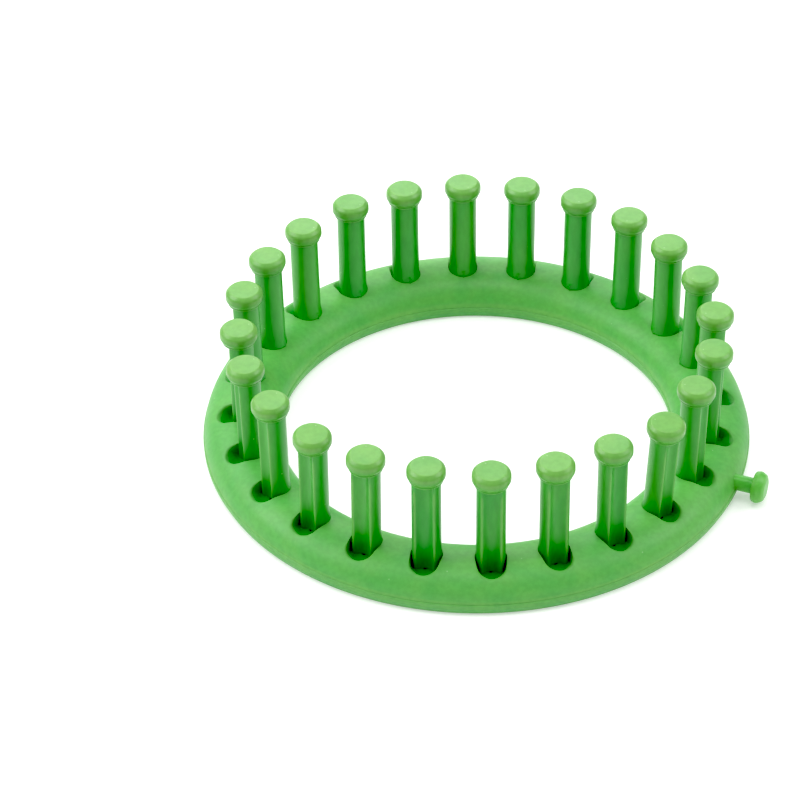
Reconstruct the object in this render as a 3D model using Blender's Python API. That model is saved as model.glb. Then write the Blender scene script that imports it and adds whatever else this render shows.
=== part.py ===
"""Round knitting loom: a hollow ring of two shells, plug-in pegs and an anchor peg for the yarn's tail.

Metres, +Z up. The origin is at the centre of the footprint, on the surface the loom stands on. The anchor
peg points along +X, so the ring's own axis stands half the anchor's reach to the -X side of the origin.
"""

from math import asin, atan2, cos, pi, radians, sin, sqrt

import bmesh
import bpy
from mathutils import Matrix, Vector

MM = 0.001
GAP = 0.3 * MM  # clearance left between two pieces that touch

# Ring, seen in section
RING_OUTER_R = 70.0 * MM
RING_INNER_R = 50.5 * MM
RING_HEIGHT = 10.15 * MM
BELLY_Z = 2.3 * MM  # height at which the ring is widest
FOOT_TAPER = 1.1 * MM  # how far the foot draws in below the belly
DOME_POWER = 2.3  # 2 would be an ellipse, more is squarer
SEAM_Z = 3.3 * MM  # height at which the two shells meet
SHELL_WALL = 2.2 * MM
FLOOR_THICKNESS = 1.2 * MM
LIP_TOP_Z = 4.6 * MM
LIP_R = RING_INNER_R + 3.0 * MM  # of the lip that centres the lower ring inside the shell's inner wall
LIP_WIDTH = 1.0 * MM
RING_SEGMENTS = 72
DOME_SEGMENTS = 10
HOLLOW_SEGMENTS = 6

# Pegs
PEG_COUNT = 24
FIRST_PEG_ANGLE = radians(8.5)  # from the anchor peg, which isn't quite midway between its neighbours
PEG_CIRCLE_R = 60.4 * MM
PEG_TOP_Z = 37.6 * MM
FOOT_TOP_Z = 12.75 * MM  # where the foot's flare has run out into the shaft
SHAFT_R = 3.62 * MM
RIDGE_TURN = radians(40)  # of the ridges beside the groove, from the direction away from the ring's axis
GROOVE_X = 1.45 * MM  # bottom of the groove that runs from the spigot to the head, from the peg's axis
HEAD_BOTTOM_Z = PEG_TOP_Z - 4.05 * MM
HEAD_BRIM_R = 4.22 * MM  # of the brim that the head starts with
HEAD_R = 4.78 * MM
HEAD_FLAT_R = 3.78 * MM
SPIGOT_R = 2.1 * MM
SPIGOT_BOTTOM_Z = 3.8 * MM
PEG_ROUND_STEPS = 8  # along the round part of a peg's section, from ridge to ridge

# Pocket in the ring at the foot of each peg, with the socket below it
POCKET_INNER_R = 3.95 * MM  # of the pocket's inner round end, which the peg's foot fills
POCKET_INNER_X = -0.6 * MM  # centre of that end, from the peg's axis
POCKET_OUTER_R = 3.3 * MM  # of the pocket's outer round end, which stays open
POCKET_OUTER_X = 2.9 * MM  # centre of that end
POCKET_FLOOR_Z = 7.1 * MM
POCKET_DRAFT = 0.1 * MM  # how far the pocket's walls draw in down to its floor
POCKET_SLOPE = 0.12  # rise of the floor towards the ring's outside
BOSS_WALL = 1.3 * MM
BOSS_CUP_Z = 5.6 * MM  # below this the boss is a tube, above it a cup under the pocket
POCKET_ARC_POINTS = 7  # along each round end
BOSS_ARC_POINTS = 4

# Anchor peg, on the ring's outside, trapped in notches where the two shells meet
ANCHOR_Z = 4.15 * MM  # just high enough for its head to clear the surface the loom stands on
ANCHOR_REACH = 7.5 * MM
ANCHOR_SHANK_R = 2.03 * MM
ANCHOR_HEAD_R = 4.03 * MM
ANCHOR_HEAD_THICKNESS = 3.3 * MM
ANCHOR_NECK_R = 1.2 * MM
ANCHOR_FLANGE_R = 1.8 * MM
ANCHOR_FLANGE_THICKNESS = 1.3 * MM
ANCHOR_FLANGE_AT = RING_OUTER_R - 4.2 * MM  # the flange's outer face, from the ring's axis
ANCHOR_SEAT_R = RING_OUTER_R - 1.0 * MM  # bottom of the seat that the shank stands in
ANCHOR_SEGMENTS = 20

SECTION_CENTRE_R = (RING_OUTER_R + RING_INNER_R) / 2
SECTION_HALF_WIDTH = (RING_OUTER_R - RING_INNER_R) / 2
RING_CENTRE = Vector((-ANCHOR_REACH / 2, 0, 0))
PLASTIC_GREEN = (0.13, 0.50, 0.09, 1.0)


def clear_scene():
    for old in list(bpy.data.objects):
        bpy.data.objects.remove(old)


def plastic(name, roughness):
    material = bpy.data.materials.new(name)
    material.use_nodes = True
    shader = material.node_tree.nodes["Principled BSDF"]
    shader.inputs["Base Color"].default_value = PLASTIC_GREEN
    shader.inputs["Roughness"].default_value = roughness
    shader.inputs["Metallic"].default_value = 0.0
    material.diffuse_color = PLASTIC_GREEN
    return material


def finish_mesh(bm, name):
    """Turn a bmesh into a mesh with outward faces, smooth but for its sharp edges."""
    bmesh.ops.recalc_face_normals(bm, faces=bm.faces)
    mesh = bpy.data.meshes.new(name)
    bm.to_mesh(mesh)
    bm.free()
    mesh.shade_smooth()
    mesh.set_sharp_from_angle(angle=pi / 5)
    return mesh


def new_object(name, mesh, parent, material=None):
    obj = bpy.data.objects.new(name, mesh)
    bpy.context.scene.collection.objects.link(obj)
    obj.parent = parent
    if material and not mesh.materials:
        mesh.materials.append(material)
    return obj


def new_cutter(name, mesh, parent):
    cutter = new_object(name, mesh, parent)
    cutter.hide_render = True
    cutter.display_type = "WIRE"
    return cutter


def subtract(obj, cutter):
    modifier = obj.modifiers.new(f"less_{cutter.name}", "BOOLEAN")
    modifier.operation = "DIFFERENCE"
    modifier.solver = "EXACT"
    modifier.object = cutter


def turned(profile, axis, segments):
    """A bmesh of a closed profile spun a full turn about an axis through the origin."""
    bm = bmesh.new()
    verts = [bm.verts.new(point) for point in profile]
    edges = [bm.edges.new((verts[i - 1], verts[i])) for i in range(len(verts))]
    bmesh.ops.spin(
        bm, geom=verts + edges, axis=axis, cent=(0, 0, 0), steps=segments, angle=2 * pi, use_merge=True
    )
    bmesh.ops.remove_doubles(bm, verts=bm.verts, dist=0.001 * MM)
    loose = [edge for edge in bm.edges if not edge.link_faces]
    bmesh.ops.delete(bm, geom=loose, context="EDGES")
    return bm


def lofted(sections, into=None, place=None):
    """A closed body through a stack of sections with equal numbers of points, added to a bmesh."""
    bm = into or bmesh.new()
    place = place or Matrix()
    rings = [[bm.verts.new(place @ Vector(point)) for point in section] for section in sections]
    for lower, upper in zip(rings, rings[1:]):
        for i in range(len(lower)):
            bm.faces.new((lower[i - 1], lower[i], upper[i], upper[i - 1]))
    bm.faces.new(list(reversed(rings[0])))
    bm.faces.new(rings[-1])
    return bm


def around_ring(index):
    """The place of a peg: its local +X points away from the ring's axis."""
    angle = FIRST_PEG_ANGLE + 2 * pi * index / PEG_COUNT
    return Matrix.Rotation(angle, 4, "Z") @ Matrix.Translation((PEG_CIRCLE_R, 0, 0))


# ---------------------------------------------------------------- ring


def dome_point(turn, inset):
    """A point (radius, height) of the ring's domed section, or of the same section drawn in by inset."""
    half_width = SECTION_HALF_WIDTH - inset
    rise = RING_HEIGHT - BELLY_Z - inset
    across, up = cos(turn), max(sin(turn), 0.0)
    radius = SECTION_CENTRE_R + half_width * (1 if across > 0 else -1) * abs(across) ** (2 / DOME_POWER)
    return radius, BELLY_Z + rise * up ** (2 / DOME_POWER)


def dome_arc(base_z, inset=0.0, segments=DOME_SEGMENTS):
    """The dome from its outer foot over the top to its inner foot, cut off level at base_z."""
    rise = (base_z - BELLY_Z) / (RING_HEIGHT - BELLY_Z - inset)
    sine = max(rise, 0.0) ** (DOME_POWER / 2)
    start = atan2(sine, sqrt(1 - sine * sine))
    turns = [start + (pi - 2 * start) * i / segments for i in range(segments + 1)]
    return [dome_point(turn, inset) for turn in turns]


def upright(outline):
    """Profile points (radius, height) as points of the XZ plane."""
    return [(radius, 0, height) for radius, height in outline]


def ring_solid(outline):
    return turned(upright(outline), (0, 0, 1), RING_SEGMENTS)


def pocket_outline(margin, height, arc_points, slope=0.0):
    """The pocket's outline drawn out by a margin: two unequal round ends and their tangents.

    It lies at a height, or on a floor that slopes up outwards from there.
    """
    taper = asin((POCKET_INNER_R - POCKET_OUTER_R) / (POCKET_OUTER_X - POCKET_INNER_X))
    half_arc = pi / 2 - taper
    ends = (
        (POCKET_OUTER_X, POCKET_OUTER_R + margin, -half_arc, 2 * half_arc),
        (POCKET_INNER_X, POCKET_INNER_R + margin, half_arc, 2 * (pi - half_arc)),
    )
    points = []
    for centre_x, radius, first_turn, sweep in ends:
        for i in range(arc_points):
            turn = first_turn + sweep * i / (arc_points - 1)
            x = centre_x + radius * cos(turn)
            rise = slope * max(x - POCKET_OUTER_X / 2, 0.0)
            points.append((x, radius * sin(turn), height + rise))
    return points


def socket_outline(radius, height, arc_points):
    """A circle with as many points as the pocket's outline has."""
    turns = [-pi / 2 + pi * (i + 0.5) / arc_points for i in range(2 * arc_points)]
    return [(radius * cos(turn), radius * sin(turn), height) for turn in turns]


def boss_form(parent):
    """All the bosses: a tube round each socket that widens to a cup under the pocket."""
    bm = bmesh.new()
    tube_r = SPIGOT_R + GAP + BOSS_WALL
    sections = [
        socket_outline(tube_r, SEAM_Z - 2 * MM, BOSS_ARC_POINTS),
        socket_outline(tube_r, BOSS_CUP_Z - 0.8 * MM, BOSS_ARC_POINTS),
        pocket_outline(BOSS_WALL, BOSS_CUP_Z, BOSS_ARC_POINTS),
        pocket_outline(BOSS_WALL, RING_HEIGHT + MM, BOSS_ARC_POINTS),
    ]
    for index in range(PEG_COUNT):
        lofted(sections, bm, around_ring(index))
    return new_cutter("boss_form", finish_mesh(bm, "boss_form"), parent)


def socket_form(parent):
    """What is cut away at each peg: the socket, and the pocket that opens it at the top."""
    bm = bmesh.new()
    socket_r = SPIGOT_R + GAP
    sections = [
        socket_outline(socket_r, SEAM_Z - MM, POCKET_ARC_POINTS),
        socket_outline(socket_r, POCKET_FLOOR_Z, POCKET_ARC_POINTS),
        pocket_outline(-POCKET_DRAFT, POCKET_FLOOR_Z, POCKET_ARC_POINTS, POCKET_SLOPE),
        pocket_outline(0, RING_HEIGHT + MM, POCKET_ARC_POINTS),
    ]
    for index in range(PEG_COUNT):
        lofted(sections, bm, around_ring(index))
    return new_cutter("socket_form", finish_mesh(bm, "socket_form"), parent)


def hollow_form(parent):
    """The space inside the upper shell, less the bosses."""
    arc = dome_arc(SEAM_Z + 0.5 * MM, SHELL_WALL, HOLLOW_SEGMENTS)
    below = SEAM_Z - MM
    outline = [(arc[0][0], below)] + arc + [(arc[-1][0], below)]
    hollow = new_cutter("hollow_form", finish_mesh(ring_solid(outline), "hollow_form"), parent)
    subtract(hollow, boss_form(parent))
    return hollow


def anchor_hole_form(parent):
    """The seat for the anchor's shank, and the narrower hole for its neck."""
    seat_r = ANCHOR_SHANK_R + GAP
    neck_r = ANCHOR_NECK_R + GAP
    outline = [
        (RING_OUTER_R - SHELL_WALL - 2 * MM, 0),
        (RING_OUTER_R - SHELL_WALL - 2 * MM, neck_r),
        (ANCHOR_SEAT_R, neck_r),
        (ANCHOR_SEAT_R, seat_r),
        (RING_OUTER_R + 2 * MM, seat_r),
        (RING_OUTER_R + 2 * MM, 0),
    ]
    bm = turned(upright(outline), (1, 0, 0), ANCHOR_SEGMENTS)
    form = new_cutter("anchor_hole_form", finish_mesh(bm, "anchor_hole_form"), parent)
    form.location = (0, 0, ANCHOR_Z)
    return form


def upper_shell(parent, anchor_hole):
    """The domed shell that carries the pegs, open below."""
    bm = ring_solid(dome_arc(SEAM_Z + GAP / 2))
    shell = new_object("upper_shell", finish_mesh(bm, "upper_shell"), parent, plastic("shell_green", 0.42))
    subtract(shell, hollow_form(parent))
    subtract(shell, socket_form(parent))
    subtract(shell, anchor_hole)
    return shell


def lower_ring(parent, anchor_hole):
    """The tray that closes the shell below: a foot, a thin floor, and a lip that centres it."""
    top = SEAM_Z - GAP / 2
    outer, inner = RING_OUTER_R, RING_INNER_R
    outline = [
        (outer - FOOT_TAPER, 0),
        (outer - 0.25 * FOOT_TAPER, BELLY_Z / 2),
        (outer, BELLY_Z),
        (outer, top),
        (outer - SHELL_WALL, top),
        (outer - SHELL_WALL, FLOOR_THICKNESS),
        (LIP_R + LIP_WIDTH, FLOOR_THICKNESS),
        (LIP_R + LIP_WIDTH, LIP_TOP_Z),
        (LIP_R, LIP_TOP_Z),
        (LIP_R, top),
        (inner, top),
        (inner, BELLY_Z),
        (inner + 0.25 * FOOT_TAPER, BELLY_Z / 2),
        (inner + FOOT_TAPER, 0),
    ]
    bm = ring_solid(outline)
    tray = new_object("lower_ring", finish_mesh(bm, "lower_ring"), parent, plastic("foot_green", 0.45))
    subtract(tray, anchor_hole)
    return tray


# ---------------------------------------------------------------- pegs


def peg_section(height, width, reach=None, grooved=True):
    """A peg's section: round on its inner side, and either grooved or round towards the ring's outside.

    width is half the peg's width, reach how far it goes towards the ring's axis if that isn't width too.
    """
    reach = reach or width
    points = []
    for i in range(PEG_ROUND_STEPS + 1):
        turn = RIDGE_TURN + (2 * pi - 2 * RIDGE_TURN) * i / PEG_ROUND_STEPS
        along = reach if cos(turn) < -0.5 else width
        points.append((along * cos(turn), width * sin(turn), height))
    for side in (-1, 0, 1):
        turn = side * RIDGE_TURN / 2
        x, y = width * cos(turn), width * sin(turn)
        if grooved:
            y = side * width * sin(RIDGE_TURN) / 2
            x = GROOVE_X + (width * cos(RIDGE_TURN) - GROOVE_X) * (side / 2) ** 2
        points.append((x, y, height))
    return points


def peg_mesh():
    """The shaft with its spigot below and its round head above."""
    foot_z = POCKET_FLOOR_Z + GAP
    foot_width = POCKET_INNER_R - POCKET_DRAFT - GAP
    foot_reach = foot_width - POCKET_INNER_X
    sections = [
        peg_section(SPIGOT_BOTTOM_Z, SPIGOT_R),
        peg_section(foot_z, SPIGOT_R),
        peg_section(foot_z, foot_width, foot_reach),
        peg_section(RING_HEIGHT, foot_width + POCKET_DRAFT, foot_reach + POCKET_DRAFT),
        peg_section(FOOT_TOP_Z, SHAFT_R),
        peg_section(HEAD_BOTTOM_Z - 0.25 * MM, SHAFT_R),
        peg_section(HEAD_BOTTOM_Z, HEAD_BRIM_R, grooved=False),
        peg_section(HEAD_BOTTOM_Z + 0.5 * MM, HEAD_BRIM_R + 0.1 * MM, grooved=False),
        peg_section(HEAD_BOTTOM_Z + 1.4 * MM, HEAD_R, grooved=False),
        peg_section(PEG_TOP_Z - 0.9 * MM, HEAD_R - 0.05 * MM, grooved=False),
        peg_section(PEG_TOP_Z, HEAD_FLAT_R, grooved=False),
    ]
    return finish_mesh(lofted(sections), "peg")


def pegs(parent):
    mesh = peg_mesh()
    material = plastic("peg_green", 0.36)
    for index in range(PEG_COUNT):
        peg = new_object(f"peg_{index + 1:02d}", mesh, parent, material)
        peg.matrix_local = around_ring(index)


def anchor_peg(parent):
    """The mushroom-headed peg on the ring's outside: its neck and flange hold it between the shells."""
    tip = RING_OUTER_R + ANCHOR_REACH
    head = tip - ANCHOR_HEAD_THICKNESS
    outline = [
        (ANCHOR_FLANGE_AT - ANCHOR_FLANGE_THICKNESS, 0),
        (ANCHOR_FLANGE_AT - ANCHOR_FLANGE_THICKNESS, ANCHOR_FLANGE_R),
        (ANCHOR_FLANGE_AT, ANCHOR_FLANGE_R),
        (ANCHOR_FLANGE_AT, ANCHOR_NECK_R),
        (ANCHOR_SEAT_R + GAP, ANCHOR_NECK_R),
        (ANCHOR_SEAT_R + GAP, ANCHOR_SHANK_R),
        (head, ANCHOR_SHANK_R),
        (head + 0.3 * MM, ANCHOR_HEAD_R - 0.5 * MM),
        (head + 1.0 * MM, ANCHOR_HEAD_R),
        (head + 2.1 * MM, ANCHOR_HEAD_R),
        (head + 2.9 * MM, ANCHOR_HEAD_R - 0.4 * MM),
        (tip, ANCHOR_HEAD_R - 1.1 * MM),
        (tip, 0),
    ]
    bm = turned(upright(outline), (1, 0, 0), ANCHOR_SEGMENTS)
    anchor = new_object("anchor_peg", finish_mesh(bm, "anchor_peg"), parent, plastic("anchor_green", 0.38))
    anchor.location = (0, 0, ANCHOR_Z)


def main():
    clear_scene()
    loom = new_object("loom", None, None)
    loom.location = RING_CENTRE
    anchor_hole = anchor_hole_form(loom)
    upper_shell(loom, anchor_hole)
    lower_ring(loom, anchor_hole)
    pegs(loom)
    anchor_peg(loom)


main()
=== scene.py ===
"""Round knitting loom: its looks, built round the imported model.

Each moulding is modelled in full detail in the place that its CAD solid holds: metres, +Z up.
A peg's own coordinates have their origin on the surface that the loom stands on, below the
peg's axis, and +X away from the ring's axis.
"""

from math import acos, asin, atan2, cos, hypot, pi, radians, sin, tan

import bmesh
import bpy
import numpy as np
from mathutils import Matrix, Vector


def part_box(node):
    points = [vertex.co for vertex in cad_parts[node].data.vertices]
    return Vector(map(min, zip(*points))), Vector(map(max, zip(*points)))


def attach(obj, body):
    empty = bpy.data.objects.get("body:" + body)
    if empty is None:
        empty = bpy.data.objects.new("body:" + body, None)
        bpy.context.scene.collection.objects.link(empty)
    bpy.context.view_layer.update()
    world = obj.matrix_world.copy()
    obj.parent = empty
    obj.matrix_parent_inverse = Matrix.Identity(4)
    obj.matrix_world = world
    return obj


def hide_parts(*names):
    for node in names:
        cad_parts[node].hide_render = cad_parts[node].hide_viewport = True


MM = 0.001

# Meshes
WELD_DISTANCE = 0.002 * MM
SHARP_ANGLE = radians(50)  # between two faces, from which their edge isn't smoothed
BISECTIONS = 40  # steps to find a point on a pocket's outline

# Ring, seen in section
RING_WIDTH = 19.5 * MM
BELLY_Z = 2.3 * MM  # height at which the ring is widest
DOME_POWER = 2.3  # 2 would be an ellipse, more is squarer
SEAM_Z = 3.3 * MM  # height at which the upper shell meets the lower ring
SEAM_GAP = 0.01 * MM
SHELL_EDGE_HEIGHT = 0.1 * MM  # at which the shell's lower edge starts to round off
SHELL_EDGE = [(0.05 * MM, 0.03 * MM), (0.15 * MM, 0.0)]  # its insets and heights above the seam
FOOT_TAPER = 0.88 * MM  # how far the lower ring draws in down to its base
FOOT_PROUD = 0.2 * MM  # how far the lower ring's edge stands out past the shell's at the seam
FOOT_BEVEL_WIDTH = 0.08 * MM  # of the lower ring's top edge, inside the shell's outline
FOOT_BEVEL_HEIGHT = 0.32 * MM
FOOT_EDGE_ROUNDING = 0.2 * MM
FOOT_SIDE_Z = 0.75 * BELLY_Z  # height at which its side starts to draw in
FOOT_SIDE_INSET = 0.05 * MM
FOOT_SIDE_ROUNDING = 1.2 * MM
FOOT_BASE_ROUNDING = 0.5 * MM
BELLY_STEPS = 14
RING_SEGMENTS = 480

# Pocket at the foot of each peg, in the peg's own coordinates
POCKET_INNER_R = 4.0 * MM  # of its inner round end, which the peg's foot fills
POCKET_INNER_X = 0.1 * MM
POCKET_OUTER_R = 3.68 * MM  # of its outer round end
POCKET_OUTER_X = 3.85 * MM
POCKET_FLOOR_Z = 6.5 * MM
POCKET_SLOPE = 0.25  # rise of the floor towards the ring's outside
POCKET_OPEN_X = 1.8 * MM  # from here outwards the rim gets softer
POCKET_FADE = 0.3 * MM  # over which the floor runs out into the dome
RIM_OUT = 0.5 * MM  # how far outside the pocket's outline the rim starts to fall at the outer end
RIM_WIDTH = 0.6 * MM  # over which the rim falls to the floor beside the foot
RIM_SPREAD = 3.5 * MM  # how much wider the fall is at the outer end
SOCKET_R = 1.62 * MM
SOCKET_EDGE = [(0.0, 0.15 * MM), (0.04 * MM, 0.05 * MM), (0.15 * MM, 0.0)]  # widening and drop
SOCKET_BOTTOM_Z = 4.0 * MM
PATCH_MARGIN = 1.25 * MM  # between a pocket's outline and its patch's edges, along the radius
PATCH_RIM_START = -0.9 * MM  # the first ring of points along the rim, inside the outline
PATCH_RIM_END = 1.2 * MM  # and the last one, outside it and just short of the margin
PATCH_RIM_RINGS = 16
PATCH_FLOOR_PARTS = (0.33, 0.67)  # where the rings between the socket and the rim lie
PATCH_TOP_PARTS = (0.2, 0.4, 0.6, 0.8, 1.0)  # and those between the rim and the patch's edge
PATCH_ARC_STEPS = 28
PATCH_SIDE_STEPS = 16

# Pegs
SHAFT_R = 3.62 * MM
GROOVE_X = 1.45 * MM  # the groove's bottom, from the peg's axis
RIDGE_X = 2.8 * MM  # the ridges beside the groove
RIDGE_Y = 2.3 * MM
RIDGE_ROUNDING = 1.0 * MM
RIDGE_HALF_ANGLE = radians(9)  # of the arc with closer points over each ridge
PEG_TURN_COUNTS = (9, 10, 46, 10, 9)  # points over half the groove, a ridge, the inside and back
GROOVE_TOP_Z = 33.15 * MM
GROOVE_RUNOUT = 0.1 * MM
FOOT_TOP_Z = 12.9 * MM
FOOT_FLARE_HEIGHT = 2.9 * MM
FOOT_SIDE_FLARE = 0.42 * MM
FOOT_INNER_FLARE = 0.3 * MM
FLARE_FROM = 0.25  # cosine of the direction at which the flare starts, 1 being outwards
FLARE_GAIN = 1.2  # how fast it grows as the cosine falls from there
FOOT_BOTTOM_Z = 6.55 * MM
FOOT_EDGE = [(0.0, 0.15 * MM), (0.04 * MM, 0.04 * MM), (0.15 * MM, 0.0)]  # its heights and insets
FOOT_LOOPS_Z = 9.0 * MM  # from here up to the foot's top the sections are close together
FOOT_STEPS = 20
SHAFT_STEPS = 30
RUNOUT_STEPS = 6
SPIGOT_R = 1.4 * MM
SPIGOT_CHAMFER = 0.3 * MM
SPIGOT_BOTTOM_Z = 4.2 * MM
NIB_TOP_Z = 11.5 * MM  # of the small nib on the foot's inner side
NIB_RUNOUT = 0.6 * MM
NIB_HALF_WIDTH = 0.35 * MM
NIB_DEPTH = 0.25 * MM

# Head of a peg in outline, from the shaft over its undercut lip up to the flat top, in mm: radius,
# depth below the top and rounding
HEAD_OUTLINE = [
    (3.64, 4.34, 0),
    (3.72, 4.16, 0.1),
    (4.18, 4.08, 0.1),
    (4.29, 3.74, 0.1),
    (4.19, 3.62, 0.04),
    (4.34, 3.46, 0.1),
    (4.80, 2.60, 1.0),
    (4.76, 0.90, 1.2),
    (3.80, 0.00, 0.5),
    (2.80, 0.00, 0),
]

PEG_SPLAY = radians(1.1)  # by which all pegs lean away from the ring's axis

# Pegs that lean otherwise in their sockets: by how many degrees more outwards, and sideways
LEANS = {
    "peg_04": (-1, 0),
    "peg_10": (1, -1),
    "peg_14": (-1, 1),
    "peg_17": (1, 2),
    "peg_18": (0, 1),
    "peg_19": (-1, 0),
    "peg_21": (-1, 0),
    "peg_22": (-1, 0),
    "peg_23": (3, -1),
}

# Anchor peg
ANCHOR_ROOT_DEPTH = 3.0 * MM  # how far its shank reaches into the ring
ANCHOR_SHANK_R = 2.03 * MM
ANCHOR_SHANK_ROUNDING = 0.35 * MM
ANCHOR_HEAD_THICKNESS = 3.3 * MM
ANCHOR_SEGMENTS = 96

# Head of the anchor in outline, from the shank to the tip, in mm: inset from its full radius,
# distance from the tip and rounding
ANCHOR_HEAD_OUTLINE = [(0.2, 3.2, 0.5), (-0.1, 1.8, 1.2), (0.6, 0.4, 0.9), (1.6, 0.0, 0.8)]

# Plastic
SHELL_GREEN = (0.115, 0.400, 0.090)
FOOT_GREEN = (0.109, 0.390, 0.100)
PEG_GREEN = (0.060, 0.350, 0.050)
# Painted shade: the deeper green of the pegs' shafts down near the ring
PEG_FOOT_SHADE_GREEN = (0.020, 0.310, 0.020)
# Painted highlight: the paler green of the pegs' heads
PEG_TIP_HIGHLIGHT_GREEN = (0.137, 0.370, 0.078)
ANCHOR_GREEN = (0.100, 0.430, 0.065)
# Painted shade: the darker green that the shell turns to down in its pockets
POCKET_SHADE_GREEN = (0.015, 0.360, 0.030)
# Painted highlight: the paler green on outer edges, ridges and rims
EDGE_HIGHLIGHT_GREEN = (0.210, 0.450, 0.110)
SPECK_GREEN = (0.400, 0.620, 0.330)
PEG_FOOT_SHADE_HEIGHT = (17.0 * MM, 9.0 * MM)  # from where to where the colours pass over into the painted shade towards the foot
# from where to where they pass over into the painted highlight on the head
PEG_TIP_HIGHLIGHT_HEIGHT = (34.4 * MM, 36.2 * MM)
# how far below the dome the painted shade in a pocket starts, and where it is full
POCKET_SHADE_DEPTH = (0.5 * MM, 2.0 * MM)
NOISE_SPREAD = (0.3, 0.7)  # between which the noise mostly stays
FLOW_MARK_SIZE = 14.0 * MM
FLOW_SHADES = (0.96, 1.04)
FLOW_HUES = (0.506, 0.494)
MOTTLE_SIZE = 1.3 * MM
MOTTLE_SHADES = (0.95, 1.05)
SMUDGE_SIZE = 6.0 * MM
SPECK_SPACING = 2.6 * MM
SPECK_EDGE = (0.03, 0.09)  # where a speck fades out, in parts of the spacing
SPECK_CHOICE = (0.86, 0.92)  # above which random number a place has one
SPECK_STRENGTH = 0.5
EDGE_HIGHLIGHT_PATCHES = (0.3, 0.6, 0.7)  # mottling from where to where, and how much of the painted edge highlight is left at its lowest
COPY_SHIFT = 7  # how many times its own place a copy's pattern is moved by
SINK_SIZE = 9.0 * MM
SINK_DEPTH = 0.012 * MM
GRAIN_SIZE = 0.35 * MM
GRAIN_DEPTH = 0.006 * MM
# In each finish, the last entry is how strong the painted edge highlight is
RING_FINISH = {"roughness": (0.42, 0.52), "gloss": 0.5, "edge_highlight_strength": 0.3}
PEG_FINISH = {"roughness": (0.30, 0.38), "gloss": 0.56, "edge_highlight_strength": 0.4}
RELIEF_SMOOTHING = 14  # rounds of averaging with the neighbouring points
EDGE_RELIEF = (250, 900)  # curvature in 1/m at which the painted edge highlight starts, and is strongest

# Studio: softboxes as direction round the loom and above the floor, distance, side and power
SOFTBOXES = {
    "top_box": (0, 90, 1.0, 0.5, 2.9),
    "left_box": (291.5, 42, 1.0, 0.6, 4.5),
    "right_box": (111.5, 42, 1.0, 0.6, 3.5),
    "back_box": (201.5, 39, 1.0, 0.42, 1.25),
    "low_back_box": (201.5, 14, 1.0, 0.55, 1.0),
    "back_left_box": (246.5, 42, 1.0, 0.6, 2.5),
}
WORLD_LIGHT = 0.56
FLOOR_HALF_WIDTH = 3.0
FLOOR_GREY = 0.75
FLOOR_ROUGHNESS = 0.9
FLOOR_GLOW = 0.36  # makes it come out white
BLACK_LEVEL = 0.047

# Camera, from the ring's centre on the surface that the loom stands on
VIEW_AZIMUTH = radians(21.54)
VIEW_ELEVATION = radians(38.18)
VIEW_ROLL = radians(-0.79)
VIEW_DISTANCE = 896.3 * MM
VIEW_RIGHT = -19.62 * MM
VIEW_UP = 8.98 * MM
LENS_MM = 156.2
SENSOR_MM = 36
CLIP_END = 20

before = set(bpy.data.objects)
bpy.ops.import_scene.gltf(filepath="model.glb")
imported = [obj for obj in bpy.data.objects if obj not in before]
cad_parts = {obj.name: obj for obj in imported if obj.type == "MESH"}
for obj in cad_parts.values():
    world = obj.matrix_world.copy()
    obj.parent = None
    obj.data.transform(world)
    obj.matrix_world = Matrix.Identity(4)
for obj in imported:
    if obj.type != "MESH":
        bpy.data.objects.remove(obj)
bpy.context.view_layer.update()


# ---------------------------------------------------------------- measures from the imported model


def centre_of(node):
    low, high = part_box(node)
    return (low + high) / 2


def peg_circle(ring_centre, nodes):
    """Radius of the circle of the pegs' centres and the first peg's angle, from all pegs."""
    spokes = [centre_of(node) - ring_centre for node in nodes]
    radius = sum(hypot(spoke.x, spoke.y) for spoke in spokes) / len(spokes)
    first = atan2(spokes[0].y, spokes[0].x)
    drift = 0.0
    for index, spoke in enumerate(spokes):
        expected = first + 2 * pi * index / len(spokes)
        drift += sin(atan2(spoke.y, spoke.x) - expected)
    return radius, first + drift / len(spokes)


ring_low, ring_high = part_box("lower_ring")
OUTER_R = (ring_high.y - ring_low.y) / 2
CENTRE_R = OUTER_R - RING_WIDTH / 2
RING_CENTRE = Vector((ring_low.x + OUTER_R, (ring_low.y + ring_high.y) / 2, 0))
RING_TOP_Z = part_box("upper_shell")[1].z

PEG_NODES = sorted(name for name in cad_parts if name.startswith("peg_"))
PEG_COUNT = len(PEG_NODES)
HEAD_CIRCLE_R, FIRST_PEG_ANGLE = peg_circle(RING_CENTRE, PEG_NODES)
PEG_TOP_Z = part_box(PEG_NODES[0])[1].z
PEG_CIRCLE_R = HEAD_CIRCLE_R - (PEG_TOP_Z - POCKET_FLOOR_Z) * tan(PEG_SPLAY)  # of their feet

ANCHOR_Z = centre_of("anchor_peg").z
ANCHOR_TIP_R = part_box("anchor_peg")[1].x - RING_CENTRE.x
ANCHOR_HEAD_R = (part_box("anchor_peg")[1].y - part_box("anchor_peg")[0].y) / 2


# ---------------------------------------------------------------- mesh helpers


def smooth_step(t):
    t = np.clip(t, 0.0, 1.0)
    return t**3 * (t * (6 * t - 15) + 10)


def soft_min(a, b, rounding):
    """The smaller of two values, rounded off where they cross."""
    overlap = np.maximum(rounding - np.abs(a - b), 0.0) / rounding
    return np.minimum(a, b) - overlap**2 * rounding / 4


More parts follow.
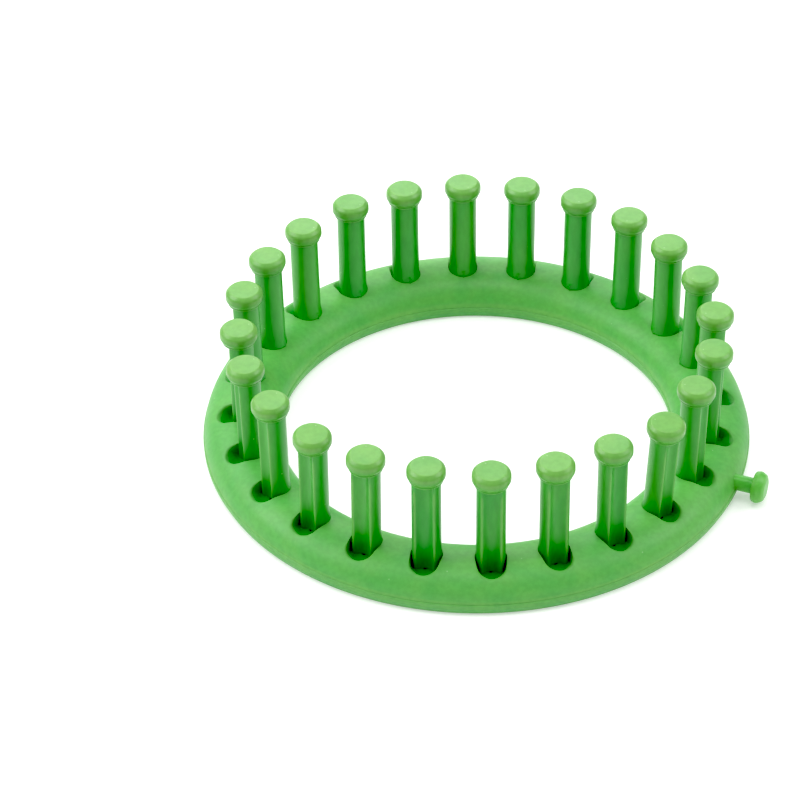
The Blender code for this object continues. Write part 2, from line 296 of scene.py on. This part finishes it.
def rounded(corners, steps=6):
    """An open outline through (u, v, rounding radius) corners, with each corner as an arc."""
    points = []
    last = len(corners) - 1
    for index, (u, v, radius) in enumerate(corners):
        here = Vector((u, v))
        if index in (0, last) or radius == 0:
            points.append(here)
            continue
        before = (Vector(corners[index - 1][:2]) - here).normalized()
        after = (Vector(corners[index + 1][:2]) - here).normalized()
        half_angle = before.angle(after) / 2
        centre = here + (before + after).normalized() * radius / sin(half_angle)
        start = here + before * radius / tan(half_angle) - centre
        end = here + after * radius / tan(half_angle) - centre
        sweep = start.angle_signed(end)
        for step in range(steps + 1):
            points.append(centre + Matrix.Rotation(-sweep * step / steps, 2) @ start)
    return [(point.x, point.y) for point in points]


def grid_faces(rows, columns, closed, first=0):
    """Quads over a grid of points stored row by row, closed round each row or open."""
    faces = []
    for row in range(rows - 1):
        for column in range(columns if closed else columns - 1):
            beside = (column + 1) % columns
            low, high = first + row * columns, first + (row + 1) * columns
            faces.append((low + column, low + beside, high + beside, high + column))
    return faces


def welded_mesh(name, points, faces):
    """A closed smooth mesh with outward faces, its doubled points merged."""
    mesh = bpy.data.meshes.new(name)
    mesh.from_pydata(points, [], faces)
    bm = bmesh.new()
    bm.from_mesh(mesh)
    bmesh.ops.remove_doubles(bm, verts=bm.verts, dist=WELD_DISTANCE)
    bmesh.ops.recalc_face_normals(bm, faces=bm.faces)
    bm.to_mesh(mesh)
    bm.free()
    mesh.shade_smooth()
    mesh.set_sharp_from_angle(angle=SHARP_ANGLE)
    add_measure(mesh, "relief", curvature(mesh))
    return mesh


def numbers(items, name, width, kind=np.float64):
    """One property of many items, as an array with a row for each."""
    values = np.empty(len(items) * width, kind)
    items.foreach_get(name, values)
    return values.reshape(-1, width)


def curvature(mesh):
    """Mean curvature at each point in 1/m, from its edges' slopes: above 0 on an outer edge."""
    places = numbers(mesh.vertices, "co", 3)
    normals = numbers(mesh.vertex_normals, "vector", 3)
    ends = numbers(mesh.edges, "vertices", 2, np.int32)
    here, there = np.concatenate([ends, ends[:, ::-1]]).T
    step = places[there] - places[here]
    bend = -2 * (step * normals[here]).sum(1) / (step**2).sum(1)
    count = np.bincount(here)
    relief = np.bincount(here, bend) / count
    for _ in range(RELIEF_SMOOTHING):
        relief = (relief + np.bincount(here, relief[there]) / count) / 2
    return relief


def add_measure(mesh, name, values):
    """Store a number for each point, which the plastic reads as an attribute."""
    attribute = mesh.attributes.new(name, "FLOAT", "POINT")
    attribute.data.foreach_set("value", values.astype(np.float32))


def lathe(name, outline, segments, closed=False, axis="Z"):
    """A mesh of a (radius, height) outline turned about Z, or about X with the height along it."""
    points = []
    for turn in np.linspace(0, 2 * pi, segments, endpoint=False):
        for radius, height in outline:
            u, v = radius * cos(turn), radius * sin(turn)
            points.append((u, v, height) if axis == "Z" else (height, u, v))
    count = len(outline)
    faces = []
    for segment in range(segments):
        here, beside = segment * count, (segment + 1) % segments * count
        for i in range(count if closed else count - 1):
            j = (i + 1) % count
            faces.append((here + i, here + j, beside + j, beside + i))
    return welded_mesh(name, points, faces)


# ---------------------------------------------------------------- ring


def dome_height(radius):
    across = np.clip(np.abs(radius - CENTRE_R) / (RING_WIDTH / 2), 0, 1)
    return BELLY_Z + (RING_TOP_Z - BELLY_Z) * (1 - across**DOME_POWER) ** (1 / DOME_POWER)


def pocket_distance(x, y):
    """Distance from the pocket's outline, two round ends and their tangents; negative inside."""
    length = POCKET_OUTER_X - POCKET_INNER_X
    lean = (POCKET_INNER_R - POCKET_OUTER_R) / length
    straight = (1 - lean**2) ** 0.5
    along, aside = x - POCKET_INNER_X, np.abs(y)
    station = straight * along - lean * aside
    side = straight * aside + lean * along - POCKET_INNER_R
    inner = np.hypot(along, aside) - POCKET_INNER_R
    outer = np.hypot(along - length, aside) - POCKET_OUTER_R
    return np.where(station < 0, inner, np.where(station > straight * length, outer, side))


def shell_height(x, y):
    """Height of the ring's top with its pocket, at points in the peg's own coordinates."""
    dome = dome_height(np.hypot(PEG_CIRCLE_R + x, y))
    floor = POCKET_FLOOR_Z + POCKET_SLOPE * np.maximum(x - POCKET_OUTER_X / 2, 0)
    above = dome - floor
    depth = (above + np.hypot(above, POCKET_FADE)) / 2
    pocket_end = POCKET_OUTER_X + POCKET_OUTER_R
    open_end = smooth_step((x - POCKET_OPEN_X) / (pocket_end - POCKET_OPEN_X))
    fall_width = RIM_WIDTH + RIM_SPREAD * open_end
    return dome - depth * smooth_step((RIM_OUT * open_end - pocket_distance(x, y)) / fall_width)


def sector_edge(inner_r, outer_r):
    """Points round one peg's share of the ring's top, alike on its two radial sides."""
    half = pi / PEG_COUNT
    turns = np.linspace(-half, half, PATCH_ARC_STEPS + 1)
    radii = np.linspace(inner_r, outer_r, PATCH_SIDE_STEPS + 1)
    polar = [(outer_r, turn) for turn in turns[:-1]]
    polar += [(radius, half) for radius in radii[:0:-1]]
    polar += [(inner_r, turn) for turn in turns[:0:-1]]
    polar += [(radius, -half) for radius in radii[:-1]]
    return np.array([(r * cos(turn) - PEG_CIRCLE_R, r * sin(turn)) for r, turn in polar])


def where_rays_meet(start, rays, distance, offset):
    """The points at which rays from a start inside a closed outline are offset away from it."""
    near, far = np.zeros(len(rays)), np.full(len(rays), RING_WIDTH)
    for _ in range(BISECTIONS):
        middle = (near + far) / 2
        inside = distance(*(start + middle[:, None] * rays).T) < offset
        near, far = np.where(inside, middle, near), np.where(inside, far, middle)
    return start + near[:, None] * rays


def pocket_patch(inner_r, outer_r):
    """Rings of points from a socket's bottom over the pocket and its rim to the sector's edge."""
    start = np.array([(POCKET_INNER_X + POCKET_OUTER_X) / 2, 0.0])
    edge = sector_edge(inner_r, outer_r)
    rays = (edge - start) / np.linalg.norm(edge - start, axis=1)[:, None]

    def socket_ring(radius, drop):
        flat = where_rays_meet(start, rays, np.hypot, radius)
        return np.column_stack([flat, shell_height(*flat.T) - drop])

    edges = [socket_ring(SOCKET_R + wider, drop) for wider, drop in SOCKET_EDGE]
    bottom = edges[0].copy()
    bottom[:, 2] = SOCKET_BOTTOM_Z
    rings = [bottom, *edges]
    mouth = edges[-1][:, :2]

    offsets = np.linspace(PATCH_RIM_START, PATCH_RIM_END, PATCH_RIM_RINGS)
    rims = [where_rays_meet(start, rays, pocket_distance, offset) for offset in offsets]
    flats = [mouth + (rims[0] - mouth) * part for part in PATCH_FLOOR_PARTS]
    flats += rims
    flats += [rims[-1] + (edge - rims[-1]) * part for part in PATCH_TOP_PARTS]
    rings += [np.column_stack([flat, shell_height(*flat.T)]) for flat in flats]
    return np.array(rings)


def flank(side, from_r):
    """(radius, height) points down the dome's outer (+1) or inner (-1) flank to the seam."""
    base_z = SEAM_Z + SEAM_GAP / 2
    first = acos((abs(from_r - CENTRE_R) / (RING_WIDTH / 2)) ** (DOME_POWER / 2))
    edge_z = base_z + SHELL_EDGE_HEIGHT
    last = asin(((edge_z - BELLY_Z) / (RING_TOP_Z - BELLY_Z)) ** (DOME_POWER / 2))
    turns = np.linspace(first, last, BELLY_STEPS + 1)
    radii = CENTRE_R + side * RING_WIDTH / 2 * np.cos(turns) ** (2 / DOME_POWER)
    points = [(radius, float(dome_height(radius))) for radius in radii]
    foot_r = CENTRE_R + side * (RING_WIDTH / 2)
    return points + [(foot_r - side * inset, base_z + height) for inset, height in SHELL_EDGE]


def shell_sector():
    """Points and faces of one peg's share of the shell, in the peg's own coordinates."""
    outer_r = PEG_CIRCLE_R + POCKET_OUTER_X + POCKET_OUTER_R + PATCH_MARGIN
    inner_r = PEG_CIRCLE_R + POCKET_INNER_X - POCKET_INNER_R - PATCH_MARGIN
    patch = pocket_patch(inner_r, outer_r)
    ring_count, ray_count = patch.shape[:2]
    faces = grid_faces(ring_count, ray_count, closed=True)
    faces.append(tuple(range(ray_count)))

    section = flank(1, outer_r) + flank(-1, inner_r)[::-1]
    half = pi / PEG_COUNT
    skirt = []
    for turn in np.linspace(-half, half, PATCH_ARC_STEPS + 1):
        skirt += [(r * cos(turn) - PEG_CIRCLE_R, r * sin(turn), z) for r, z in section]
    first = ring_count * ray_count
    faces += grid_faces(PATCH_ARC_STEPS + 1, len(section), closed=False, first=first)
    return np.vstack([patch.reshape(-1, 3), skirt]), faces


def upper_shell_mesh():
    sector, sector_faces = shell_sector()
    sector = sector + (PEG_CIRCLE_R, 0, 0)
    points = []
    faces = []
    for index in range(PEG_COUNT):
        turn = FIRST_PEG_ANGLE + 2 * pi * index / PEG_COUNT
        spin = np.array([[cos(turn), sin(turn), 0], [-sin(turn), cos(turn), 0], [0, 0, 1]])
        shift = index * len(sector)
        faces += [tuple(vert + shift for vert in face) for face in sector_faces]
        points.append(sector @ spin)
    mesh = welded_mesh("ring_top", np.vstack(points), faces)
    # how far each point lies below the dome, read by the painted shade in the pockets
    places = numbers(mesh.vertices, "co", 3)
    sunk = dome_height(np.hypot(places[:, 0], places[:, 1])) - places[:, 2]
    add_measure(mesh, "depth", np.where(places[:, 2] > SEAM_Z + MM, sunk, 0))
    return mesh


def lower_ring_mesh():
    """The foot that closes the ring below, its top edge just proud of the shell."""
    top = SEAM_Z - SEAM_GAP / 2
    half = RING_WIDTH / 2
    proud = half + FOOT_PROUD
    side = [
        (half - FOOT_BEVEL_WIDTH, top, 0),
        (proud, top - FOOT_BEVEL_HEIGHT, FOOT_EDGE_ROUNDING),
        (proud - FOOT_SIDE_INSET, FOOT_SIDE_Z, FOOT_SIDE_ROUNDING),
        (proud - FOOT_TAPER, 0, FOOT_BASE_ROUNDING),
    ]
    corners = [(CENTRE_R, top, 0)]
    corners += [(CENTRE_R + out, z, rounding) for out, z, rounding in side]
    corners += [(CENTRE_R - out, z, rounding) for out, z, rounding in side[::-1]]
    outline = rounded(corners)
    return lathe("ring_foot", outline, RING_SEGMENTS, closed=True)


# ---------------------------------------------------------------- pegs


def peg_turns():
    """Angles round a peg, closer together over its two ridges."""
    ridge = atan2(RIDGE_Y, RIDGE_X)
    start, end = ridge - RIDGE_HALF_ANGLE, ridge + RIDGE_HALF_ANGLE
    bounds = [0, start, end, 2 * pi - end, 2 * pi - start, 2 * pi]
    arcs = zip(bounds, bounds[1:], PEG_TURN_COUNTS)
    return np.concatenate([np.linspace(a, b, count, endpoint=False) for a, b, count in arcs])


def peg_section(height, radius, side_flare=0.0, inner_flare=0.0, groove_lift=0.0):
    """One section of the shaft or foot; groove_lift draws the groove's bottom outwards."""
    turns = peg_turns()
    behind = smooth_step(FLARE_GAIN * (FLARE_FROM - np.cos(turns)))
    across = (radius + side_flare * behind) * np.sin(turns)
    along = (radius + inner_flare * behind) * np.cos(turns)
    bowl = GROOVE_X + (RIDGE_X - GROOVE_X) * (across / RIDGE_Y) ** 2 + groove_lift
    along = soft_min(along, bowl, RIDGE_ROUNDING)
    if FOOT_BOTTOM_Z < height < FOOT_TOP_Z:
        rise = smooth_step((NIB_TOP_Z - height) / NIB_RUNOUT)
        nib = NIB_DEPTH * rise * np.exp(-((across / NIB_HALF_WIDTH) ** 4))
        along = np.where(along < 0, along - nib, along)
    return np.column_stack([along, across, np.full(len(turns), height)])


def peg_sections():
    """The peg's sections from the bottom of its spigot up to the head's rounding."""
    sections = [
        peg_section(SPIGOT_BOTTOM_Z, SPIGOT_R - SPIGOT_CHAMFER),
        peg_section(SPIGOT_BOTTOM_Z + SPIGOT_CHAMFER, SPIGOT_R),
        peg_section(FOOT_BOTTOM_Z, SPIGOT_R),
    ]
    for rise, inset in FOOT_EDGE:
        flares = FOOT_SIDE_FLARE, FOOT_INNER_FLARE
        sections.append(peg_section(FOOT_BOTTOM_Z + rise, SHAFT_R - inset, *flares))
    for height in np.linspace(FOOT_LOOPS_Z, FOOT_TOP_Z, FOOT_STEPS):
        flare = min((FOOT_TOP_Z - height) / FOOT_FLARE_HEIGHT, 1.0) ** 2
        flares = FOOT_SIDE_FLARE * flare, FOOT_INNER_FLARE * flare
        sections.append(peg_section(height, SHAFT_R, *flares))
    for height in np.linspace(FOOT_TOP_Z, GROOVE_TOP_Z, SHAFT_STEPS)[1:]:
        sections.append(peg_section(height, SHAFT_R))
    for part in np.linspace(0, 1, RUNOUT_STEPS + 1)[1:]:
        lift = (SHAFT_R - GROOVE_X + RIDGE_ROUNDING) * part**2
        height = GROOVE_TOP_Z + part * GROOVE_RUNOUT
        sections.append(peg_section(height, SHAFT_R, groove_lift=lift))
    return sections


def peg_mesh():
    """A knitting peg: spigot, flared foot, shaft with a groove on its outer side, and head."""
    sections = peg_sections()
    turns = peg_turns()
    head = [(r * MM, PEG_TOP_Z - depth * MM, rounding * MM) for r, depth, rounding in HEAD_OUTLINE]
    for radius, height in rounded(head, steps=7):
        ring = [radius * np.cos(turns), radius * np.sin(turns), np.full(len(turns), height)]
        sections.append(np.column_stack(ring))
    count = len(turns)
    faces = grid_faces(len(sections), count, closed=True)
    faces.append(tuple(range(count)))
    faces.append(tuple(range((len(sections) - 1) * count, len(sections) * count)))
    return welded_mesh("peg", np.vstack(sections), faces)


def anchor_mesh():
    """The mushroom-headed anchor, lying along +X from inside the ring's wall."""
    root = OUTER_R - ANCHOR_ROOT_DEPTH
    corners = [
        (0, root, 0),
        (ANCHOR_SHANK_R, root, 0),
        (ANCHOR_SHANK_R, ANCHOR_TIP_R - ANCHOR_HEAD_THICKNESS, ANCHOR_SHANK_ROUNDING),
    ]
    for inset, back, rounding in ANCHOR_HEAD_OUTLINE:
        corners.append((ANCHOR_HEAD_R - inset * MM, ANCHOR_TIP_R - back * MM, rounding * MM))
    corners.append((0, ANCHOR_TIP_R, 0))
    return lathe("anchor", rounded(corners, steps=8), ANCHOR_SEGMENTS, axis="X")


# ---------------------------------------------------------------- plastic


def add_node(tree, kind, inputs=None, **settings):
    """A new node with its sockets set, each to a value or linked to another node's socket."""
    node = tree.nodes.new(kind)
    for setting, value in settings.items():
        setattr(node, setting, value)
    for socket, value in (inputs or {}).items():
        if isinstance(value, bpy.types.NodeSocket):
            tree.links.new(value, node.inputs[socket])
        else:
            node.inputs[socket].default_value = value
    return node


def noise(tree, place, feature_size, detail=2.0, distortion=0.0):
    inputs = {"Vector": place, "Scale": 1 / feature_size}
    inputs |= {"Detail": detail, "Distortion": distortion}
    return add_node(tree, "ShaderNodeTexNoise", inputs).outputs["Fac"]


def ramp(tree, value, start, end, low=0.0, high=1.0):
    """A value that goes smoothly from low to high as another goes from start to end."""
    inputs = {0: value, 1: start, 2: end, 3: low, 4: high}
    node = add_node(tree, "ShaderNodeMapRange", inputs, interpolation_type="SMOOTHSTEP")
    return node.outputs[0]


def product(tree, one, other):
    return add_node(tree, "ShaderNodeMath", {0: one, 1: other}, operation="MULTIPLY").outputs[0]


def blended(tree, factor, first, second):
    """A colour between two: at a factor of 0 it is the first, at 1 the second."""
    mix = add_node(tree, "ShaderNodeMix", {0: factor, 6: first, 7: second}, data_type="RGBA")
    return mix.outputs[2]


def own_place(tree, stretch):
    """Coordinates that move with the piece, drawn out along Z and different on each copy of it."""
    inside = add_node(tree, "ShaderNodeTexCoord").outputs["Object"]
    shift = add_node(tree, "ShaderNodeObjectInfo").outputs["Location"]
    kind = "ShaderNodeVectorMath"
    spread = add_node(tree, kind, {0: shift, 1: (COPY_SHIFT,) * 3}, operation="MULTIPLY")
    moved = add_node(tree, kind, {0: inside, 1: spread.outputs[0]}, operation="ADD")
    drawn = {0: moved.outputs[0], 1: (1, 1, 1 / stretch)}
    return add_node(tree, kind, drawn, operation="MULTIPLY").outputs[0]


def specks(tree, place):
    """Sparse pale specks of dust moulded into the surface."""
    cells = add_node(tree, "ShaderNodeTexVoronoi", {"Vector": place, "Scale": 1 / SPECK_SPACING})
    spot = ramp(tree, cells.outputs["Distance"], *SPECK_EDGE, 1.0, 0.0)
    chosen = add_node(tree, "ShaderNodeSeparateColor", {0: cells.outputs["Color"]}).outputs[0]
    return product(tree, spot, ramp(tree, chosen, *SPECK_CHOICE, 0.0, SPECK_STRENGTH))


def measure(tree, name):
    """A number that is stored for each point of the mesh."""
    return add_node(tree, "ShaderNodeAttribute", attribute_name=name).outputs["Fac"]


def shell_tint(tree, colour):
    """The shell's green, with painted shade that grows deeper down in the pockets."""
    # painted shade in the pockets, stronger the deeper a point lies
    pocket_shade = ramp(tree, measure(tree, "depth"), *POCKET_SHADE_DEPTH)
    return blended(tree, pocket_shade, colour, (*POCKET_SHADE_GREEN, 1))


def peg_tint(tree, colour):
    """The pegs' green, darker with painted shade towards the foot and paler with a painted
    highlight on the head.
    """
    inside = add_node(tree, "ShaderNodeTexCoord").outputs["Object"]
    height = add_node(tree, "ShaderNodeSeparateXYZ", {0: inside}).outputs["Z"]
    # painted shade towards the foot, then a painted highlight on the head
    tint = blended(tree, ramp(tree, height, *PEG_FOOT_SHADE_HEIGHT), colour, (*PEG_FOOT_SHADE_GREEN, 1))
    return blended(tree, ramp(tree, height, *PEG_TIP_HIGHLIGHT_HEIGHT), tint, (*PEG_TIP_HIGHLIGHT_GREEN, 1))


def moulded_plastic(name, colour, finish, tint_of=None, stretch=1.0):
    """Green moulded plastic with flow marks, mottling, specks, a painted highlight on its edges
    and a faint grain.
    """
    material = bpy.data.materials.new(name)
    material.use_nodes = True
    tree = material.node_tree
    shader = tree.nodes["Principled BSDF"]
    inside = add_node(tree, "ShaderNodeTexCoord").outputs["Object"]
    place = own_place(tree, stretch)

    tint = (*colour, 1)
    if tint_of:
        tint = tint_of(tree, tint)
    flow = noise(tree, place, FLOW_MARK_SIZE, detail=3.0, distortion=0.8)
    mottle = noise(tree, place, MOTTLE_SIZE)
    flow_shade = ramp(tree, flow, *NOISE_SPREAD, *FLOW_SHADES)
    value = product(tree, flow_shade, ramp(tree, mottle, *NOISE_SPREAD, *MOTTLE_SHADES))
    shade = {"Color": tint, "Hue": ramp(tree, flow, *NOISE_SPREAD, *FLOW_HUES), "Value": value}
    tint = add_node(tree, "ShaderNodeHueSaturation", shade).outputs[0]
    # Outer edges turn paler: a painted highlight, made patchy by the mottling
    edges = ramp(tree, measure(tree, "relief"), *EDGE_RELIEF, 0.0, finish["edge_highlight_strength"])
    painted_edge_highlight = product(tree, edges, ramp(tree, mottle, *EDGE_HIGHLIGHT_PATCHES))
    tint = blended(tree, painted_edge_highlight, tint, (*EDGE_HIGHLIGHT_GREEN, 1))
    tint = blended(tree, specks(tree, inside), tint, (*SPECK_GREEN, 1))
    tree.links.new(tint, shader.inputs["Base Color"])

    smudge = noise(tree, place, SMUDGE_SIZE, detail=4.0)
    roughness = ramp(tree, smudge, *NOISE_SPREAD, *finish["roughness"])
    tree.links.new(roughness, shader.inputs["Roughness"])
    shader.inputs["Specular IOR Level"].default_value = finish["gloss"]

    sinks = noise(tree, inside, SINK_SIZE, detail=1.0)
    uneven = add_node(tree, "ShaderNodeBump", {"Height": sinks, "Distance": SINK_DEPTH})
    grain = noise(tree, inside, GRAIN_SIZE, detail=1.0)
    fine = {"Height": grain, "Distance": GRAIN_DEPTH, "Normal": uneven.outputs[0]}
    tree.links.new(add_node(tree, "ShaderNodeBump", fine).outputs[0], shader.inputs["Normal"])
    return material


# ---------------------------------------------------------------- pieces


def add_piece(name, mesh, node, material):
    piece = bpy.data.objects.new(name, mesh)
    bpy.context.scene.collection.objects.link(piece)
    if not mesh.materials:  # the pegs share one mesh
        mesh.materials.append(material)
    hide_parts(node)
    return piece


def peg_place(index, outward, sideways):
    """Where a peg stands, leaning by so many degrees about the middle of its foot."""
    turn = FIRST_PEG_ANGLE + 2 * pi * index / PEG_COUNT
    foot = Matrix.Translation((0, 0, POCKET_FLOOR_Z))
    tip_out = Matrix.Rotation(PEG_SPLAY + radians(outward), 4, "Y")
    lean = tip_out @ Matrix.Rotation(radians(-sideways), 4, "X")
    stand = Matrix.Translation(RING_CENTRE) @ Matrix.Rotation(turn, 4, "Z")
    return stand @ Matrix.Translation((PEG_CIRCLE_R, 0, 0)) @ foot @ lean @ foot.inverted()


def build_loom():
    shell_green = moulded_plastic("shell_green", SHELL_GREEN, RING_FINISH, shell_tint)
    foot_green = moulded_plastic("foot_green", FOOT_GREEN, RING_FINISH)
    peg_green = moulded_plastic("peg_green", PEG_GREEN, PEG_FINISH, peg_tint, stretch=3.0)
    anchor_green = moulded_plastic("anchor_green", ANCHOR_GREEN, PEG_FINISH)
    shell = add_piece("ring_top", upper_shell_mesh(), "upper_shell", shell_green)
    foot = add_piece("ring_foot", lower_ring_mesh(), "lower_ring", foot_green)
    anchor = add_piece("anchor", anchor_mesh(), "anchor_peg", anchor_green)
    shell.location = RING_CENTRE
    foot.location = RING_CENTRE
    anchor.location = RING_CENTRE + Vector((0, 0, ANCHOR_Z))
    pieces = [shell, foot, anchor]
    mesh = peg_mesh()
    for index, node in enumerate(PEG_NODES):
        peg = add_piece(f"knitting_{node}", mesh, node, peg_green)
        peg.matrix_world = peg_place(index, *LEANS.get(node, (0, 0)))
        pieces.append(peg)
    for piece in pieces:
        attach(piece, "root")


# ---------------------------------------------------------------- studio


def direction(azimuth, elevation):
    """From the loom: round it from its front towards +X, and up from the floor."""
    aside, ahead = sin(azimuth), -cos(azimuth)
    return Vector((aside * cos(elevation), ahead * cos(elevation), sin(elevation)))


def build_camera():
    back = direction(VIEW_AZIMUTH, VIEW_ELEVATION)
    level = Vector((cos(VIEW_AZIMUTH), sin(VIEW_AZIMUTH), 0))
    right = Matrix.Rotation(VIEW_ROLL, 3, back) @ level
    up = back.cross(right)
    camera = bpy.data.objects.new("camera", bpy.data.cameras.new("camera"))
    bpy.context.scene.collection.objects.link(camera)
    camera.data.lens = LENS_MM
    camera.data.sensor_width = SENSOR_MM
    camera.data.clip_end = CLIP_END
    place = Matrix((right, up, back)).transposed().to_4x4()
    place.translation = RING_CENTRE + back * VIEW_DISTANCE + right * VIEW_RIGHT + up * VIEW_UP
    camera.matrix_world = place
    bpy.context.scene.camera = camera


def add_softbox(name, azimuth, elevation, distance, size, power):
    """A square area light that faces the loom, with its direction in degrees."""
    back = direction(radians(azimuth), radians(elevation))
    lamp = bpy.data.objects.new(name, bpy.data.lights.new(name, "AREA"))
    bpy.context.scene.collection.objects.link(lamp)
    lamp.data.shape = "SQUARE"
    lamp.data.size = size
    lamp.data.energy = power
    lamp.location = back * distance
    lamp.rotation_euler = back.to_track_quat("Z", "Y").to_euler()


def build_floor():
    mesh = bpy.data.meshes.new("floor")
    half = FLOOR_HALF_WIDTH
    corners = [(-half, -half, 0), (half, -half, 0), (half, half, 0), (-half, half, 0)]
    mesh.from_pydata(corners, [], [(0, 1, 2, 3)])
    floor = bpy.data.objects.new("floor", mesh)
    bpy.context.scene.collection.objects.link(floor)
    paper = bpy.data.materials.new("pale_paper")
    paper.use_nodes = True
    shader = paper.node_tree.nodes["Principled BSDF"]
    shader.inputs["Base Color"].default_value = (FLOOR_GREY, FLOOR_GREY, FLOOR_GREY, 1)
    shader.inputs["Roughness"].default_value = FLOOR_ROUGHNESS
    shader.inputs["Emission Color"].default_value = (1, 1, 1, 1)
    shader.inputs["Emission Strength"].default_value = FLOOR_GLOW
    mesh.materials.append(paper)


def build_studio():
    world = bpy.data.worlds.new("studio")
    bpy.context.scene.world = world
    world.use_nodes = True
    background = world.node_tree.nodes["Background"]
    background.inputs["Color"].default_value = (1, 1, 1, 1)
    background.inputs["Strength"].default_value = WORLD_LIGHT

    build_floor()
    for name, settings in SOFTBOXES.items():
        add_softbox(name, *settings)
    view = bpy.context.scene.view_settings
    view.view_transform = "Standard"
    view.use_curve_mapping = True
    view.curve_mapping.black_level = (BLACK_LEVEL,) * 3
    view.curve_mapping.update()


build_loom()
build_camera()
build_studio()
